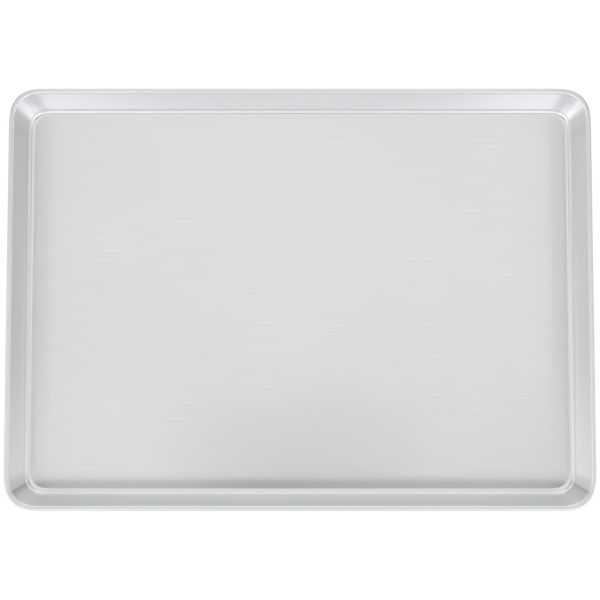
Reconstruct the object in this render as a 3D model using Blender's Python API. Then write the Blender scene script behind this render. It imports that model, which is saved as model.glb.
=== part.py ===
"""Half-size sheet pan: a shallow rectangular baking tray with a wire in its rolled rim.

The tray is one sheet of aluminium, pressed into a flat floor with sloping walls. The edge of the sheet
is rolled outwards and down round a loop of steel wire, which stiffens the rim. Those are its two pieces.

Metres, +Z up. The origin is on the table, under the middle of the floor. Length runs along X.
"""

import math

import bmesh
import bpy

# Overall sizes, taken over the rolled rim
PAN_LENGTH = 0.4572
PAN_WIDTH = 0.3302
PAN_HEIGHT = 0.0254

# The corners in plan. A corner's reach is the length that it takes off each of its two sides. The ease is
# the exponent of its curve: 2 is a plain arc, and a larger one turns out of the straights more gently
RIM_CORNER_REACH = 0.0325
FLOOR_CORNER_REACH = 0.0180
CORNER_EASE = 3.0

# The sheet, and the wire that its edge is rolled round
SHEET = 0.0010
WIRE_DIAMETER = 0.0025
WIRE_CLEARANCE = 0.0003
WIRE_BUTT_GAP = 0.0010
CURL_TIP_GAP = 0.0004

# The pressed form. The lean is measured from upright, and the cove is the inside bend of wall and floor.
# The floor is slightly crowned: near its edge it falls away to the cove, so the pan stands on a ring
WALL_LEAN = math.radians(21)
COVE_RADIUS = 0.0046
CROWN_SLOPE = math.radians(6)
CROWN_REACH = 0.0200

# How finely the round stretches are faceted
CORNER_STEPS = 12
CROWN_STEPS = 4
COVE_STEP = math.radians(12)
CURL_STEP = math.radians(18)
WIRE_BEVEL_RESOLUTION = 4
SMOOTH_UNDER = math.radians(40)

# What follows from the sizes. In a section through the rim, a point is (inset, height): inset is the
# distance in from the outermost line of the rim, and an angle of 0 points into the tray, 90 degrees up
CURL_INNER = WIRE_DIAMETER / 2 + WIRE_CLEARANCE
CURL_OUTER = CURL_INNER + SHEET
CURL_CENTRE = (CURL_OUTER, PAN_HEIGHT - CURL_OUTER)
QUARTER = math.radians(90)


def on_circle(centre, radius, angle):
    """The point of a section at an angle on a circle."""
    return (centre[0] + radius * math.cos(angle), centre[1] + radius * math.sin(angle))


def angles_between(start, end, longest_step):
    """Evenly spaced angles from start to end, both included."""
    count = max(1, math.ceil(abs(end - start) / longest_step - 1e-9))
    return [start + (end - start) * i / count for i in range(count + 1)]


def cove_centre():
    """The centre of the bend that touches both the floor and the inner face of the wall."""
    wall_top = on_circle(CURL_CENTRE, CURL_OUTER, WALL_LEAN)
    across = on_circle(wall_top, COVE_RADIUS, WALL_LEAN)
    height = SHEET + COVE_RADIUS
    down_the_wall = (across[1] - height) / math.cos(WALL_LEAN)
    return (across[0] + down_the_wall * math.sin(WALL_LEAN), height)


def crown_stations(edge):
    """The section of the floor's sloping margin, from the flat floor out to the edge of the cove.

    The slope grows with the square of the way covered, and so the drop grows with its cube.
    """
    steepest = math.tan(CROWN_SLOPE)
    stations = []
    for step in range(CROWN_STEPS, 0, -1):
        share = step / CROWN_STEPS
        left_to_flat = 1 - share
        rise = steepest * CROWN_REACH * (1 - left_to_flat ** 3) / 3
        top = (edge[0] + CROWN_REACH * share, edge[1] + rise)
        downwards = 3 * QUARTER + math.atan(steepest * left_to_flat ** 2)
        stations.append((top, on_circle(top, SHEET, downwards), top[0] + FLOOR_CORNER_REACH))
    return stations


def cove_angles():
    """Angles from the end of the floor's slope, through the lowest point, to the foot of the wall."""
    lowest = 3 * QUARTER
    to_lowest = angles_between(lowest + CROWN_SLOPE, lowest, COVE_STEP)
    return to_lowest[:-1] + angles_between(lowest, 2 * QUARTER + WALL_LEAN, COVE_STEP)


def curl_angles():
    """Angles round the wire from the top of the wall to the tip, which stops just short of the wall."""
    tip = WALL_LEAN + 4 * QUARTER - math.acos((CURL_INNER - CURL_TIP_GAP) / CURL_OUTER)
    corners = [WALL_LEAN, QUARTER, 2 * QUARTER, 3 * QUARTER, tip]
    angles = [WALL_LEAN]
    for start, end in zip(corners, corners[1:]):
        angles += angles_between(start, end, CURL_STEP)[1:]
    return angles


def sheet_stations():
    """The section of the sheet, floor to tip, as (top point, underside point, corner centre inset).

    The two faces of the sheet share a centre at each corner of the tray, which keeps the sheet at least
    as thick there as on the straights. Down the wall that centre moves inwards, because a corner is
    rounder at the floor than a plain offset of the rim would leave it.
    """
    centre = cove_centre()
    edge = on_circle(centre, COVE_RADIUS, cove_angles()[0])
    wall_top = on_circle(CURL_CENTRE, CURL_OUTER, WALL_LEAN)[0]
    stations = crown_stations(edge)
    for angle in cove_angles():
        top = on_circle(centre, COVE_RADIUS, angle)
        share = (edge[0] - top[0]) / (edge[0] - wall_top)
        at_floor = edge[0] + FLOOR_CORNER_REACH
        corner_centre = at_floor + (RIM_CORNER_REACH - at_floor) * share
        stations.append((top, on_circle(centre, COVE_RADIUS + SHEET, angle), corner_centre))
    for angle in curl_angles():
        top = on_circle(CURL_CENTRE, CURL_OUTER, angle)
        stations.append((top, on_circle(CURL_CENTRE, CURL_INNER, angle), RIM_CORNER_REACH))
    return stations


def eased(share):
    """The cosine or sine of a plain arc, made that of a corner that eases into its straights."""
    return math.copysign(abs(share) ** (2 / CORNER_EASE), share)


def outline(inset, corner_centre):
    """A rounded rectangle in plan, counter-clockwise from the left end of the back side."""
    reach = corner_centre - inset
    centre_x = PAN_LENGTH / 2 - corner_centre
    centre_y = PAN_WIDTH / 2 - corner_centre
    points = []
    for quarter, (side_x, side_y) in enumerate(((-1, 1), (-1, -1), (1, -1), (1, 1)), start=1):
        for step in range(CORNER_STEPS + 1):
            angle = QUARTER * (quarter + step / CORNER_STEPS)
            x = side_x * centre_x + reach * eased(math.cos(angle))
            y = side_y * centre_y + reach * eased(math.sin(angle))
            points.append((x, y))
    return points


def metal(name, colour, roughness):
    """A bare metal of one colour."""
    material = bpy.data.materials.new(name)
    material.use_nodes = True
    shader = material.node_tree.nodes["Principled BSDF"]
    shader.inputs["Base Color"].default_value = (*colour, 1.0)
    shader.inputs["Metallic"].default_value = 1.0
    shader.inputs["Roughness"].default_value = roughness
    return material


def add_object(name, data, material):
    """Puts a finished shape in the scene."""
    data.materials.append(material)
    made = bpy.data.objects.new(name, data)
    bpy.context.scene.collection.objects.link(made)
    return made


def add_ring(bm, point, corner_centre):
    """The corners of the closed line that one point of the section draws round the tray."""
    inset, height = point
    return [bm.verts.new((x, y, height)) for x, y in outline(inset, corner_centre)]


def make_tray():
    """The pressed sheet: rings from the floor up over the curl, and back along the underside."""
    stations = sheet_stations()
    bm = bmesh.new()
    rings = [add_ring(bm, top, corner_centre) for top, _, corner_centre in stations]
    rings += [add_ring(bm, under, corner_centre) for _, under, corner_centre in reversed(stations)]
    for ring, following in zip(rings, rings[1:]):
        for i in range(len(ring)):
            bm.faces.new((ring[i - 1], ring[i], following[i], following[i - 1]))
    for floor in (rings[0], rings[-1]):
        bm.faces.new(floor)
    bmesh.ops.recalc_face_normals(bm, faces=bm.faces)
    mesh = bpy.data.meshes.new("tray")
    bm.to_mesh(mesh)
    bm.free()
    mesh.shade_smooth()
    mesh.set_sharp_from_angle(angle=SMOOTH_UNDER)
    return add_object("pan_body", mesh, metal("aluminium", (0.83, 0.84, 0.84), 0.34))


def make_rim_wire():
    """The loop of wire inside the curl. Its two cut ends meet in the middle of the back side."""
    inset, height = CURL_CENTRE
    bends = outline(inset, RIM_CORNER_REACH)
    back = PAN_WIDTH / 2 - inset
    route = [(-WIRE_BUTT_GAP / 2, back), *bends, (WIRE_BUTT_GAP / 2, back)]
    curve = bpy.data.curves.new("wire", "CURVE")
    curve.dimensions = "3D"
    curve.bevel_depth = WIRE_DIAMETER / 2
    curve.bevel_resolution = WIRE_BEVEL_RESOLUTION
    curve.use_fill_caps = True
    spline = curve.splines.new("POLY")
    spline.points.add(len(route) - 1)
    for point, (x, y) in zip(spline.points, route):
        point.co = (x, y, height, 1.0)
    return add_object("rim_wire", curve, metal("galvanised steel", (0.56, 0.57, 0.58), 0.40))


def main():
    for old in list(bpy.data.objects):
        bpy.data.objects.remove(old)
    make_tray()
    make_rim_wire()


main()
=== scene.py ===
"""The half-size sheet pan in bare satin aluminium, standing on a white studio table and seen from above."""

import math

import bmesh
import bpy
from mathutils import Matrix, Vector


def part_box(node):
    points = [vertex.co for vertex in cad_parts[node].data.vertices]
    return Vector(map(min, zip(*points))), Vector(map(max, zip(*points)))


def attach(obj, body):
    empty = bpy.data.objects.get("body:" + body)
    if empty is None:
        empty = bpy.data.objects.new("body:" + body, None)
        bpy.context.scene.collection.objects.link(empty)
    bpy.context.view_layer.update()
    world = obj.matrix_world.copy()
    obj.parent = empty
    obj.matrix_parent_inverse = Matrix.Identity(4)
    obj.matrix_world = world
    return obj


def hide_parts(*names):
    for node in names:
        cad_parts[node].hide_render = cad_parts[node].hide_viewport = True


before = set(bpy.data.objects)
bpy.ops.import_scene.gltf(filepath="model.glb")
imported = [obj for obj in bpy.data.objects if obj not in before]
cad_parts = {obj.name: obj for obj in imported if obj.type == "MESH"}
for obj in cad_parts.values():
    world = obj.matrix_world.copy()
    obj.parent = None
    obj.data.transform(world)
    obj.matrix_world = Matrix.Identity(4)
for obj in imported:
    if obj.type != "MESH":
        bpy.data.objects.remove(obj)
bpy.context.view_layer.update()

# Sizes of the pressed sheet that the solids' boxes don't give
SHEET = 0.0010
WIRE_CLEARANCE = 0.0003
WIRE_BUTT_GAP = 0.0010
CURL_TIP_GAP = 0.0004
WALL_LEAN = math.radians(21)
COVE_RADIUS = 0.0046
CROWN_SLOPE = math.radians(6)
CROWN_REACH = 0.0200

# The corners in plan. A corner's reach is the length that it takes off each of its two sides. The ease is
# the exponent of its curve: 2 is a plain arc, and a larger one turns out of the straights more gently
RIM_CORNER_REACH = 0.0325
FLOOR_CORNER_REACH = 0.0180
CORNER_EASE = 3.0

# Sizes that the solids' boxes do give
LOW, HIGH = (Vector(corner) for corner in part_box("pan_body"))
WIRE_LOW, WIRE_HIGH = (Vector(corner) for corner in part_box("rim_wire"))
PAN_LENGTH, PAN_WIDTH, PAN_HEIGHT = HIGH - LOW
WIRE_DIAMETER = WIRE_HIGH.z - WIRE_LOW.z

# How finely the smooth mesh is divided, and the sharpest fold that is shaded smooth. The slack keeps
# rounding from adding a step to a stretch that divides evenly
CORNER_STEPS = 32
CROWN_STEPS = 16
COVE_STEP = math.radians(4)
CURL_STEP = math.radians(6)
WIRE_BEVEL_RESOLUTION = 8
SMOOTH_UNDER = math.radians(40)
ROUNDING_SLACK = 1e-9

# In a section through the rim a point is (inset, height): inset is the distance in from the outermost
# line of the rim, and an angle of 0 points into the tray, 90 degrees up
CURL_INNER = WIRE_DIAMETER / 2 + WIRE_CLEARANCE
CURL_OUTER = CURL_INNER + SHEET
CURL_CENTRE = (CURL_OUTER, PAN_HEIGHT - CURL_OUTER)
QUARTER = math.radians(90)

# The camera, from the lines of the rim and the floor in the photograph. It stands a little to the front of
# the pan, and it aims just in front of the rim's middle, which is below it in the picture
CAMERA_DISTANCE = 1.184
CAMERA_TILT = math.radians(4.67)
CAMERA_LENS = 91.5
AIM_BELOW_MIDDLE = 0.00186

# Finishes. Aluminium in the satin state that rolling and pressing leave it in, and wire in dull zinc
ALUMINIUM_PALE = "#EFF1F0"
ALUMINIUM_DEEP = "#EBEDEC"
SATIN_ROUGHNESS = 0.16
ROUGHNESS_SPREAD = 0.05
ZINC_PALE = "#B9BDC1"
ZINC_DEEP = "#9A9EA3"
ZINC_ROUGHNESS = 0.42
TABLE_WHITE = "#EFEFEF"

# Sizes of the patterns. The rolling grain is a tenth of a millimetre wide on the real sheet, and the
# marks that the press draws along the walls are as fine. Both are drawn wider, so that they show at all
GRAIN_LENGTH = 0.060
GRAIN_WIDTH = 0.0010
DRAWN_MARK_LENGTH = 0.120
DRAWN_MARK_WIDTH = 0.0012
MARKS_RELIEF = 0.000003
CLOUD_SIZE = 0.070
ZINC_MOTTLE = 0.0015

# Grain and drawn marks are two noises, whose sum mostly lies between these values. The share says how much
# of the faint change in colour follows them. The rest follows soft clouds
MARKS_LOW = 0.7
MARKS_HIGH = 1.3
MARKS_SHARE = 0.6

# A Mix node for colours takes and gives them at these sockets. Its sockets for numbers have the same names
MIX_PALE = 6
MIX_DEEP = 7
MIX_COLOUR = 2

# The studio: a white table, and far walls that are white near the horizon and grey above it
TABLE_SIZE = 20.0
TABLE_DROP = 0.0001
TABLE_GLOW = 0.45
SKY_GREY = 0.27
WHITE_UP_TO = math.radians(6)
GREY_FROM = math.radians(12)

# A tent of lit panels over the table, by its planes. The bright upright panels stand on a dimmer skirt, so
# that the tray's floor doesn't glare when it is seen from low down. Panels that overlap lie a layer apart
LEFT = -2.15
RIGHT = 2.15
FRONT = -1.95
BACK = 2.35
FOOT = 0.30
SKIRT = 1.10
TOP = 2.70
LAYER = 0.01
COOL_WHITE = "#FBF8FF"

# Each panel by two opposite corners, and its brightness as a share of white. Panels that overlap add up,
# and the far walls' grey adds to each. The ceiling leaves out a strip, and there that grey shows alone,
# except in the middle
TENT = {
    "ceiling": ((LEFT, -0.50, TOP), (RIGHT, BACK, TOP), 0.31),
    "ceiling_front": ((LEFT, FRONT, TOP), (RIGHT, -1.00, TOP), 0.70),
    "ceiling_left": ((LEFT, -0.50, TOP - LAYER), (-1.70, 0.45, TOP - LAYER), 0.88),
    "ceiling_right": ((1.70, -0.50, TOP - LAYER), (RIGHT, 0.45, TOP - LAYER), 0.66),
    "overhead": ((-1.20, -0.05, TOP - LAYER), (1.20, 1.90, TOP - LAYER), 0.13),
    "overhead_middle": ((-0.70, -1.00, TOP - 2 * LAYER), (0.70, BACK, TOP - 2 * LAYER), 0.14),
    "near_left": ((-0.70, FRONT, TOP - 3 * LAYER), (-0.25, -0.05, TOP - 3 * LAYER), 0.13),
    "near_right": ((0.25, FRONT, TOP - 3 * LAYER), (0.70, -0.05, TOP - 3 * LAYER), 0.08),
    "beside_left": ((-1.20, -0.50, TOP - 4 * LAYER), (-0.70, -0.05, TOP - 4 * LAYER), 0.22),
    "beside_right": ((0.70, -0.50, TOP - 4 * LAYER), (1.20, -0.05, TOP - 4 * LAYER), 0.20),
    "left_front": ((LEFT, FRONT, SKIRT), (LEFT, -0.50, TOP), 1.16),
    "left_middle": ((LEFT, -0.50, SKIRT), (LEFT, -0.05, TOP), 0.74),
    "left_behind": ((LEFT, -0.05, SKIRT), (LEFT, 0.90, TOP), 0.54),
    "left_dim": ((LEFT, 0.90, SKIRT), (LEFT, 1.40, TOP), 0.20),
    "left_back": ((LEFT, 1.40, SKIRT), (LEFT, BACK, TOP), 0.40),
    "right_front": ((RIGHT, FRONT, SKIRT), (RIGHT, -0.50, TOP), 1.05),
    "right_middle": ((RIGHT, -0.50, SKIRT), (RIGHT, -0.05, TOP), 0.62),
    "right_behind": ((RIGHT, -0.05, SKIRT), (RIGHT, 0.90, TOP), 0.43),
    "right_dim": ((RIGHT, 0.90, SKIRT), (RIGHT, 1.40, TOP), 0.12),
    "right_back": ((RIGHT, 1.40, SKIRT), (RIGHT, BACK, TOP), 0.30),
    "front_left": ((LEFT, FRONT, SKIRT), (-0.45, FRONT, TOP), 0.95),
    "front_middle": ((-0.45, FRONT, SKIRT), (0.45, FRONT, TOP), 0.73),
    "front_right": ((0.45, FRONT, SKIRT), (RIGHT, FRONT, TOP), 0.98),
    "low_left": ((LEFT, FRONT, FOOT), (LEFT, BACK, SKIRT), 0.42),
    "low_right": ((RIGHT, FRONT, FOOT), (RIGHT, BACK, SKIRT), 0.42),
    "low_front": ((LEFT, FRONT, FOOT), (RIGHT, FRONT, SKIRT), 0.42),
    "back": ((LEFT, BACK, FOOT), (RIGHT, BACK, TOP), 0.42),
    "back_low": ((-0.70, BACK - LAYER, 0.90), (0.70, BACK - LAYER, 1.50), 0.55),
}


def on_circle(centre, radius, angle):
    """The point of a section at an angle on a circle."""
    return (centre[0] + radius * math.cos(angle), centre[1] + radius * math.sin(angle))


def angles_between(start, end, longest_step):
    """Evenly spaced angles from start to end, both included."""
    count = max(1, math.ceil(abs(end - start) / longest_step - ROUNDING_SLACK))
    return [start + (end - start) * i / count for i in range(count + 1)]


def cove_centre():
    """The centre of the bend that touches both the floor and the inner face of the wall."""
    wall_top = on_circle(CURL_CENTRE, CURL_OUTER, WALL_LEAN)
    across = on_circle(wall_top, COVE_RADIUS, WALL_LEAN)
    height = SHEET + COVE_RADIUS
    down_the_wall = (across[1] - height) / math.cos(WALL_LEAN)
    return (across[0] + down_the_wall * math.sin(WALL_LEAN), height)


def crown_stations(edge):
    """The section of the floor's sloping margin, from the flat floor out to the edge of the cove.

    The slope grows with the square of the way covered, and so the drop grows with its cube.
    """
    steepest = math.tan(CROWN_SLOPE)
    stations = []
    for step in range(CROWN_STEPS, 0, -1):
        share = step / CROWN_STEPS
        left_to_flat = 1 - share
        rise = steepest * CROWN_REACH * (1 - left_to_flat ** 3) / 3
        top = (edge[0] + CROWN_REACH * share, edge[1] + rise)
        downwards = 3 * QUARTER + math.atan(steepest * left_to_flat ** 2)
        stations.append((top, on_circle(top, SHEET, downwards), top[0] + FLOOR_CORNER_REACH))
    return stations


def cove_angles():
    """Angles from the end of the floor's slope, through the lowest point, to the foot of the wall."""
    lowest = 3 * QUARTER
    to_lowest = angles_between(lowest + CROWN_SLOPE, lowest, COVE_STEP)
    return to_lowest[:-1] + angles_between(lowest, 2 * QUARTER + WALL_LEAN, COVE_STEP)


def curl_angles():
    """Angles round the wire from the top of the wall to the tip, which stops just short of the wall."""
    tip = WALL_LEAN + 4 * QUARTER - math.acos((CURL_INNER - CURL_TIP_GAP) / CURL_OUTER)
    corners = [WALL_LEAN, QUARTER, 2 * QUARTER, 3 * QUARTER, tip]
    angles = [WALL_LEAN]
    for start, end in zip(corners, corners[1:]):
        angles += angles_between(start, end, CURL_STEP)[1:]
    return angles


def sheet_stations():
    """The section of the sheet, floor to tip, as (top point, underside point, corner centre inset)."""
    centre = cove_centre()
    edge = on_circle(centre, COVE_RADIUS, cove_angles()[0])
    wall_top = on_circle(CURL_CENTRE, CURL_OUTER, WALL_LEAN)[0]
    stations = crown_stations(edge)
    for angle in cove_angles():
        top = on_circle(centre, COVE_RADIUS, angle)
        share = (edge[0] - top[0]) / (edge[0] - wall_top)
        at_floor = edge[0] + FLOOR_CORNER_REACH
        corner_centre = at_floor + (RIM_CORNER_REACH - at_floor) * share
        stations.append((top, on_circle(centre, COVE_RADIUS + SHEET, angle), corner_centre))
    for angle in curl_angles():
        top = on_circle(CURL_CENTRE, CURL_OUTER, angle)
        stations.append((top, on_circle(CURL_CENTRE, CURL_INNER, angle), RIM_CORNER_REACH))
    return stations


def eased(share):
    """The cosine or sine of a plain arc, made that of a corner that eases into its straights."""
    return math.copysign(abs(share) ** (2 / CORNER_EASE), share)


def outline(inset, corner_centre):
    """A rounded rectangle in plan, counter-clockwise from the left end of the back side."""
    reach = corner_centre - inset
    centre_x = PAN_LENGTH / 2 - corner_centre
    centre_y = PAN_WIDTH / 2 - corner_centre
    points = []
    for quarter, (side_x, side_y) in enumerate(((-1, 1), (-1, -1), (1, -1), (1, 1)), start=1):
        for step in range(CORNER_STEPS + 1):
            angle = QUARTER * (quarter + step / CORNER_STEPS)
            x = side_x * centre_x + reach * eased(math.cos(angle))
            y = side_y * centre_y + reach * eased(math.sin(angle))
            points.append((x, y))
    return points


def blank_outlines(stations):
    """Where each ring of the tray lay on the flat blank before pressing, for the grain to follow."""
    first, _, corner_centre = stations[0]
    pressed = 0.0
    outlines = [outline(first[0], corner_centre)]
    for (previous, _, _), (top, _, _) in zip(stations, stations[1:]):
        pressed += math.dist(previous, top)
        outlines.append(outline(first[0] - pressed, corner_centre))
    return outlines


def add_object(name, data, material):
    """Puts a finished shape in the scene."""
    data.materials.append(material)
    made = bpy.data.objects.new(name, data)
    bpy.context.scene.collection.objects.link(made)
    return made


def add_ring(bm, point, corner_centre):
    """The corners of the closed line that one point of the section draws round the tray."""
    inset, height = point
    return [bm.verts.new((x, y, height)) for x, y in outline(inset, corner_centre)]


def make_tray(material):
    """The pressed sheet: rings from the floor up over the curl, and back along the underside."""
    stations = sheet_stations()
    blanks = blank_outlines(stations)
    bm = bmesh.new()
    rings = [add_ring(bm, top, corner_centre) for top, _, corner_centre in stations]
    rings += [add_ring(bm, under, corner_centre) for _, under, corner_centre in reversed(stations)]
    for ring, following in zip(rings, rings[1:]):
        for i in range(len(ring)):
            bm.faces.new((ring[i - 1], ring[i], following[i], following[i - 1]))
    for floor in (rings[0], rings[-1]):
        bm.faces.new(floor)
    bmesh.ops.recalc_face_normals(bm, faces=bm.faces)
    on_blank = {}
    for ring, blank in zip(rings, blanks + blanks[::-1]):
        on_blank.update(zip(ring, blank))
    blank_map = bm.loops.layers.uv.new("blank")
    for face in bm.faces:
        for loop in face.loops:
            loop[blank_map].uv = on_blank[loop.vert]
    mesh = bpy.data.meshes.new("tray")
    bm.to_mesh(mesh)
    bm.free()
    mesh.shade_smooth()
    mesh.set_sharp_from_angle(angle=SMOOTH_UNDER)
    return add_object("tray", mesh, material)


def make_rim_wire(material):
    """The loop of wire inside the curl. Its two cut ends meet in the middle of the back side."""
    inset, height = CURL_CENTRE
    bends = outline(inset, RIM_CORNER_REACH)
    back = PAN_WIDTH / 2 - inset
    route = [(-WIRE_BUTT_GAP / 2, back), *bends, (WIRE_BUTT_GAP / 2, back)]
    curve = bpy.data.curves.new("wire", "CURVE")
    curve.dimensions = "3D"
    curve.bevel_depth = WIRE_DIAMETER / 2
    curve.bevel_resolution = WIRE_BEVEL_RESOLUTION
    curve.use_fill_caps = True
    spline = curve.splines.new("POLY")
    spline.points.add(len(route) - 1)
    for point, (x, y) in zip(spline.points, route):
        point.co = (x, y, height, 1.0)
    return add_object("wire", curve, material)


def linear(hex_colour):
    """An sRGB hex colour as the linear colour that a shader takes, by the sRGB standard's own curve."""
    channels = [int(hex_colour[i:i + 2], 16) / 255 for i in (1, 3, 5)]
    straight = [c / 12.92 if c <= 0.04045 else ((c + 0.055) / 1.055) ** 2.4 for c in channels]
    return (*straight, 1.0)


def add_node(owner, kind, settings, links):
    """Adds a node to a material or the world, sets its properties and sockets, and links others into it."""
    tree = owner.node_tree
    node = tree.nodes.new(kind)
    for name, value in settings.items():
        if isinstance(name, int) or name in node.inputs:
            node.inputs[name].default_value = value
        else:
            setattr(node, name, value)
    for name, output in links.items():
        tree.links.new(output, node.inputs[name])
    return node


def new_metal(name, roughness):
    """A material with a bare metal's shader, ready for its pattern."""
    material = bpy.data.materials.new(name)
    material.use_nodes = True
    shader = material.node_tree.nodes["Principled BSDF"]
    shader.inputs["Metallic"].default_value = 1.0
    shader.inputs["Roughness"].default_value = roughness
    return material, shader


def satin_aluminium():
    """Bare rolled aluminium with a satin surface: a soft, slightly blurred shine with a faint grain.

    The grain of the rolled sheet runs along X. On the walls lie fine marks along the rim, from the press.
    """
    material, shader = new_metal("satin_aluminium", SATIN_ROUGHNESS)
    blank = add_node(material, "ShaderNodeUVMap", {"uv_map": "blank"}, {})
    along_grain = add_node(
        material, "ShaderNodeMapping",
        {"Scale": (1 / GRAIN_LENGTH, 1 / GRAIN_WIDTH, 1)}, {"Vector": blank.outputs["UV"]})
    grain = add_node(
        material, "ShaderNodeTexNoise", {"noise_dimensions": "2D", "Scale": 1, "Detail": 3},
        {"Vector": along_grain.outputs["Vector"]})
    place = add_node(material, "ShaderNodeTexCoord", {}, {})
    along_rim = add_node(
        material, "ShaderNodeMapping",
        {"Scale": (1 / DRAWN_MARK_LENGTH, 1 / DRAWN_MARK_LENGTH, 1 / DRAWN_MARK_WIDTH)},
        {"Vector": place.outputs["Object"]})
    drawn_marks = add_node(
        material, "ShaderNodeTexNoise", {"Scale": 1, "Detail": 2}, {"Vector": along_rim.outputs["Vector"]})
    clouds = add_node(
        material, "ShaderNodeTexNoise", {"Scale": 1 / CLOUD_SIZE, "Detail": 2},
        {"Vector": place.outputs["Object"]})
    relief = add_node(
        material, "ShaderNodeMath", {"operation": "ADD"},
        {0: grain.outputs["Fac"], 1: drawn_marks.outputs["Fac"]})
    marks = add_node(
        material, "ShaderNodeMapRange", {"From Min": MARKS_LOW, "From Max": MARKS_HIGH},
        {"Value": relief.outputs["Value"]})
    roughness = add_node(
        material, "ShaderNodeMapRange",
        {"To Min": SATIN_ROUGHNESS - ROUGHNESS_SPREAD / 2,
         "To Max": SATIN_ROUGHNESS + ROUGHNESS_SPREAD / 2},
        {"Value": marks.outputs["Result"]})
    shade = add_node(
        material, "ShaderNodeMix", {"Factor": MARKS_SHARE},
        {"A": clouds.outputs["Fac"], "B": marks.outputs["Result"]})
    colour = add_node(
        material, "ShaderNodeMix",
        {"data_type": "RGBA", MIX_PALE: linear(ALUMINIUM_PALE), MIX_DEEP: linear(ALUMINIUM_DEEP)},
        {0: shade.outputs["Result"]})
    bump = add_node(
        material, "ShaderNodeBump", {"Distance": MARKS_RELIEF}, {"Height": relief.outputs["Value"]})
    links = material.node_tree.links
    links.new(colour.outputs[MIX_COLOUR], shader.inputs["Base Color"])
    links.new(roughness.outputs["Result"], shader.inputs["Roughness"])
    links.new(bump.outputs["Normal"], shader.inputs["Normal"])
    return material


def zinc_coated_steel():
    """Drawn steel wire in a zinc coat that has gone dull: a mottled mid grey with little shine."""
    material, shader = new_metal("zinc_coated_steel", ZINC_ROUGHNESS)
    place = add_node(material, "ShaderNodeTexCoord", {}, {})
    mottle = add_node(
        material, "ShaderNodeTexNoise", {"Scale": 1 / ZINC_MOTTLE, "Detail": 3},
        {"Vector": place.outputs["Object"]})
    colour = add_node(
        material, "ShaderNodeMix",
        {"data_type": "RGBA", MIX_PALE: linear(ZINC_PALE), MIX_DEEP: linear(ZINC_DEEP)},
        {0: mottle.outputs["Fac"]})
    material.node_tree.links.new(colour.outputs[MIX_COLOUR], shader.inputs["Base Color"])
    return material


def white_table():
    """Matt white board, which shows as white to the eye and in the metal, and still takes a shadow."""
    material = bpy.data.materials.new("white_table")
    material.use_nodes = True
    shader = material.node_tree.nodes["Principled BSDF"]
    shader.inputs["Base Color"].default_value = linear(TABLE_WHITE)
    shader.inputs["Roughness"].default_value = 1.0
    shader.inputs["Specular IOR Level"].default_value = 0.0
    shader.inputs["Emission Color"].default_value = (1, 1, 1, 1)
    ray = add_node(material, "ShaderNodeLightPath", {}, {})
    seen = add_node(
        material, "ShaderNodeMath", {"operation": "MAXIMUM"},
        {0: ray.outputs["Is Camera Ray"], 1: ray.outputs["Is Glossy Ray"]})
    seen = add_node(
        material, "ShaderNodeMath", {"operation": "MAXIMUM"},
        {0: seen.outputs["Value"], 1: ray.outputs["Is Transmission Ray"]})
    glow = add_node(
        material, "ShaderNodeMath", {"operation": "MULTIPLY", 1: TABLE_GLOW}, {0: seen.outputs["Value"]})
    material.node_tree.links.new(glow.outputs["Value"], shader.inputs["Emission Strength"])
    return material


def make_table():
    """The table top, just clear of the ring that the pan stands on."""
    half = TABLE_SIZE / 2
    corners = [(-half, -half, 0), (half, -half, 0), (half, half, 0), (-half, half, 0)]
    mesh = bpy.data.meshes.new("table")
    mesh.from_pydata(corners, [], [(0, 1, 2, 3)])
    table = add_object("table", mesh, white_table())
    table.location.z = -TABLE_DROP
    return table


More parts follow.
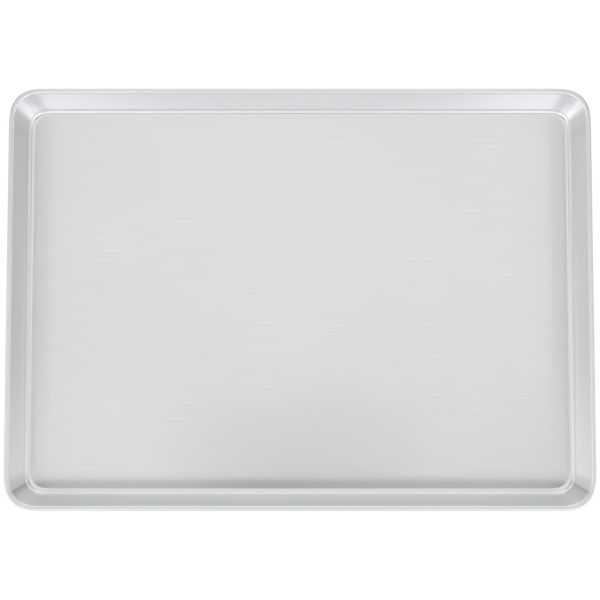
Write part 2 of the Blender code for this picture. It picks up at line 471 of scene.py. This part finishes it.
def make_sky():
    """The studio's far walls: white near the table's horizon and grey higher up."""
    world = bpy.data.worlds.new("studio")
    bpy.context.scene.world = world
    world.use_nodes = True
    direction = add_node(world, "ShaderNodeTexCoord", {}, {})
    parts = add_node(world, "ShaderNodeSeparateXYZ", {}, {"Vector": direction.outputs["Generated"]})
    brightness = add_node(
        world, "ShaderNodeMapRange",
        {"From Min": math.sin(WHITE_UP_TO), "From Max": math.sin(GREY_FROM),
         "To Min": 1.0, "To Max": SKY_GREY},
        {"Value": parts.outputs["Z"]})
    background = world.node_tree.nodes["Background"]
    background.inputs["Color"].default_value = (1, 1, 1, 1)
    world.node_tree.links.new(brightness.outputs["Result"], background.inputs["Strength"])


def add_panel(name, low, high, brightness):
    """A lit panel of the tent, facing inwards. The upright ones have a faint violet tint.

    An area light of pi watts a square metre shows as white.
    """
    low, high = Vector(low), Vector(high)
    middle = (low + high) / 2
    size = high - low
    data = bpy.data.lights.new(name, "AREA")
    data.shape = "RECTANGLE"
    panel = bpy.data.objects.new(name, data)
    bpy.context.scene.collection.objects.link(panel)
    panel.location = middle
    data.size = size.x or size.y
    data.size_y = size.z or size.y
    if size.z:
        inwards = -Vector((middle.x if size.x == 0 else 0, middle.y if size.y == 0 else 0, 0))
        panel.rotation_euler = inwards.to_track_quat("-Z", "Y").to_euler()
        data.color = linear(COOL_WHITE)[:3]
    data.energy = math.pi * data.size * data.size_y * brightness
    panel.visible_camera = False


def make_camera():
    """The camera, looking down at the pan."""
    rim_middle = Vector((0, 0, PAN_HEIGHT - CURL_OUTER))
    back = Vector((0, -math.sin(CAMERA_TILT), math.cos(CAMERA_TILT)))
    data = bpy.data.cameras.new("camera")
    data.lens = CAMERA_LENS
    camera = bpy.data.objects.new("camera", data)
    bpy.context.scene.collection.objects.link(camera)
    camera.location = rim_middle + back * CAMERA_DISTANCE
    aim = rim_middle - Vector((0, AIM_BELOW_MIDDLE, 0))
    camera.rotation_euler = (aim - camera.location).to_track_quat("-Z", "Y").to_euler()
    bpy.context.scene.camera = camera


def main():
    """Dresses both nodes and sets up the studio round them."""
    tray = make_tray(satin_aluminium())
    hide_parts("pan_body")
    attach(tray, "root")
    wire = make_rim_wire(zinc_coated_steel())
    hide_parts("rim_wire")
    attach(wire, "root")
    make_table()
    make_sky()
    for name, (low, high, brightness) in TENT.items():
        add_panel(name, low, high, brightness)
    make_camera()
    bpy.context.scene.view_settings.view_transform = "Standard"


main()
